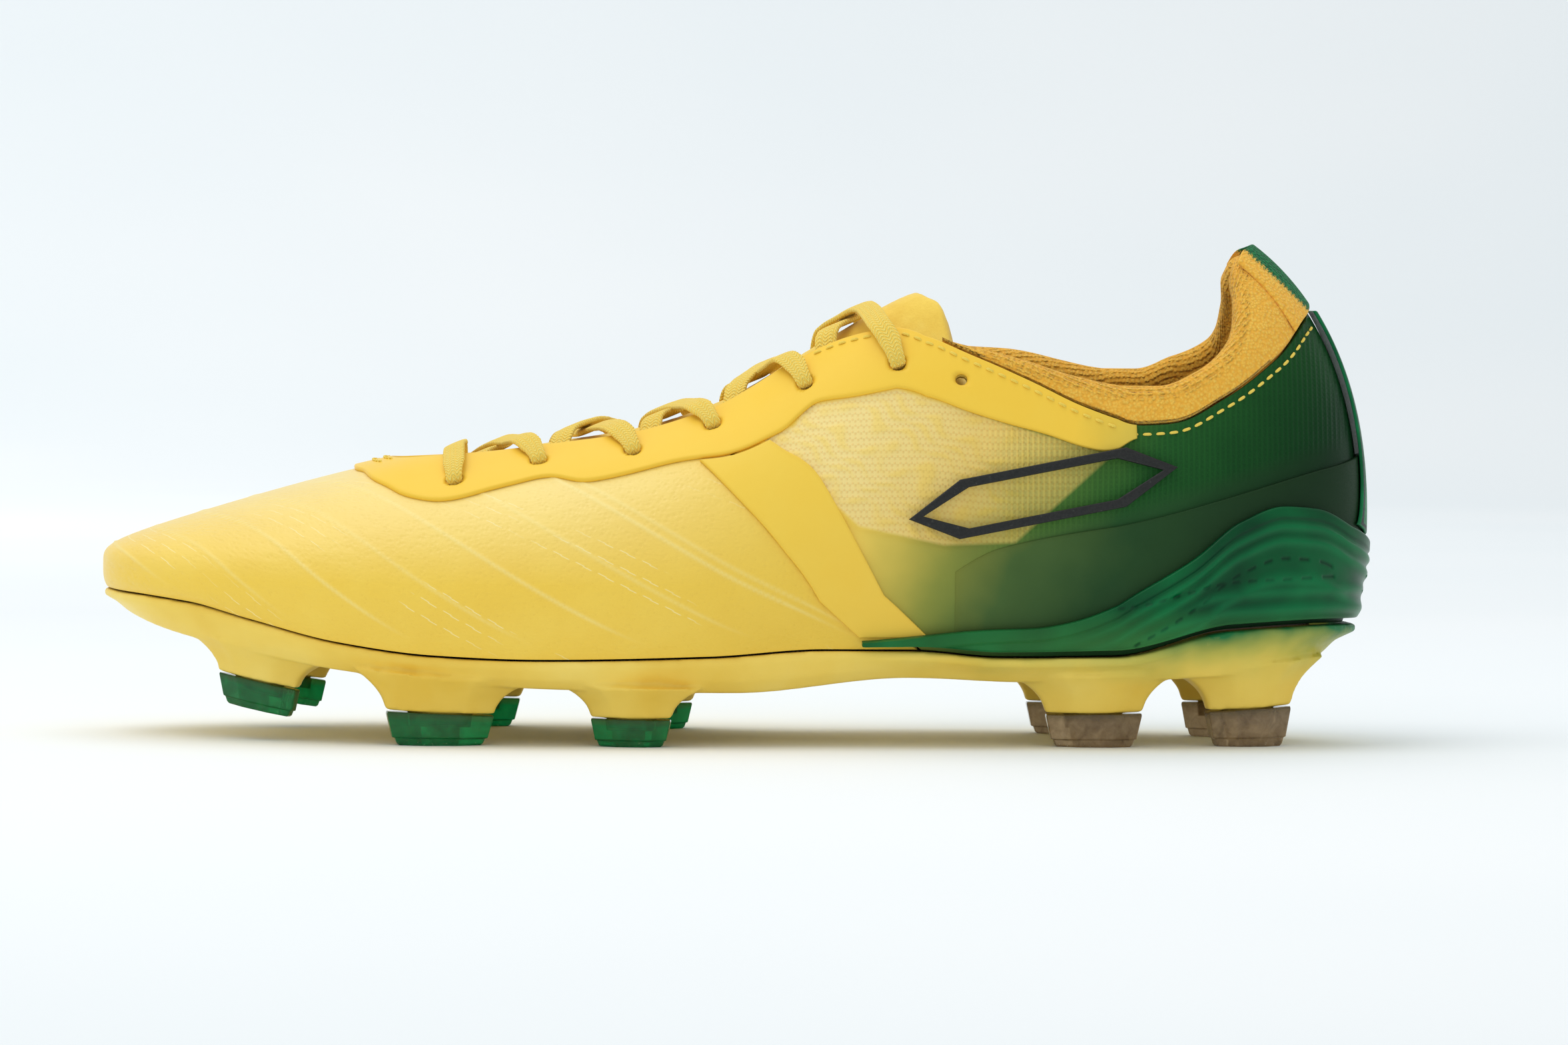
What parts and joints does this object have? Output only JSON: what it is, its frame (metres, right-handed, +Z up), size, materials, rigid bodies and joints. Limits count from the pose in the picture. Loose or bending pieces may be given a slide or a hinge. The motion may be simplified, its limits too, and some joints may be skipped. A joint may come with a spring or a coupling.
{
  "type": "soccer cleat",
  "caption": "Low-cut left firm-ground soccer boot: moulded studded plate, leather forefoot, mesh quarter, heel cup, knit collar, padded tongue and flat laces.",
  "frame": {"origin": "middle of the boot's length and width on the ground the heel and forefoot studs stand on", "axes": "+X towards the heel, toe at -X; +Y towards the inner (medial) side of the foot; +Z up"},
  "size_m": [0.2885, 0.0915, 0.1136],
  "materials": {
    "moulded_yellow": "satin moulded",
    "stud_green": "clear moulded",
    "stud_smoke": "clear moulded",
    "board": "stitched fibre board",
    "foam": "brushed textile over foam",
    "leather_yellow": "fine grained, creased",
    "quarter_mesh": "mesh under clear film",
    "film_yellow": "smooth film",
    "film_green": "matte film",
    "mark_black": "raised print",
    "tpu_green": "ribbed moulded",
    "knit_yellow": "terry knit",
    "knit_green": "flat knit",
    "stiff_sheet": "stiffener sheet",
    "lace_yellow": "flat woven"
  },
  "bodies": {
    "boot": {"outsole_plate": "moulded_yellow", "stud_tip_fore_lateral_1": "stud_green", "stud_tip_fore_lateral_2": "stud_green", "stud_tip_fore_lateral_3": "stud_green", "stud_tip_heel_lateral_1": "stud_smoke", "stud_tip_heel_lateral_2": "stud_smoke", "stud_tip_fore_medial_1": "stud_green", "stud_tip_fore_medial_2": "stud_green", "stud_tip_fore_medial_3": "stud_green", "stud_tip_heel_medial_1": "stud_smoke", "stud_tip_heel_medial_2": "stud_smoke", "insole_board": "board", "vamp": "leather_yellow", "quarter_lateral": "quarter_mesh", "quarter_medial": "quarter_mesh", "eyestay": "film_yellow", "eyelet_facing_lateral": "stiff_sheet", "eyelet_facing_medial": "stiff_sheet", "band_lateral": "film_yellow", "band_medial": "film_yellow", "quarter_film_lateral": "film_green", "quarter_film_medial": "film_green", "side_mark_lateral": "mark_black", "side_mark_medial": "mark_black", "heel_stabilizer": "tpu_green", "backstay": "tpu_green", "knit_collar": "knit_yellow", "heel_tab": "knit_green", "heel_lining": "foam", "heel_counter": "stiff_sheet", "toe_puff": "stiff_sheet", "shoelace": "lace_yellow"},
    "tongue": {"tongue": "knit_yellow"},
    "sockliner": {"sockliner": "foam"}
  },
  "joints": [
    {"name": "tongue_press", "type": "hinge", "parent": "boot", "child": "tongue", "pos_m": [-0.084, 0.0017, 0.056], "axis": [0, 1, 0], "range_deg": [0, 5], "stiffness_Nm_per_rad": 1, "springref_deg": -2.86},
    {"name": "sockliner_lift", "type": "slide", "parent": "boot", "child": "sockliner", "axis": [0, 0, 1], "range_m": [0, 0.006]}
  ]
}
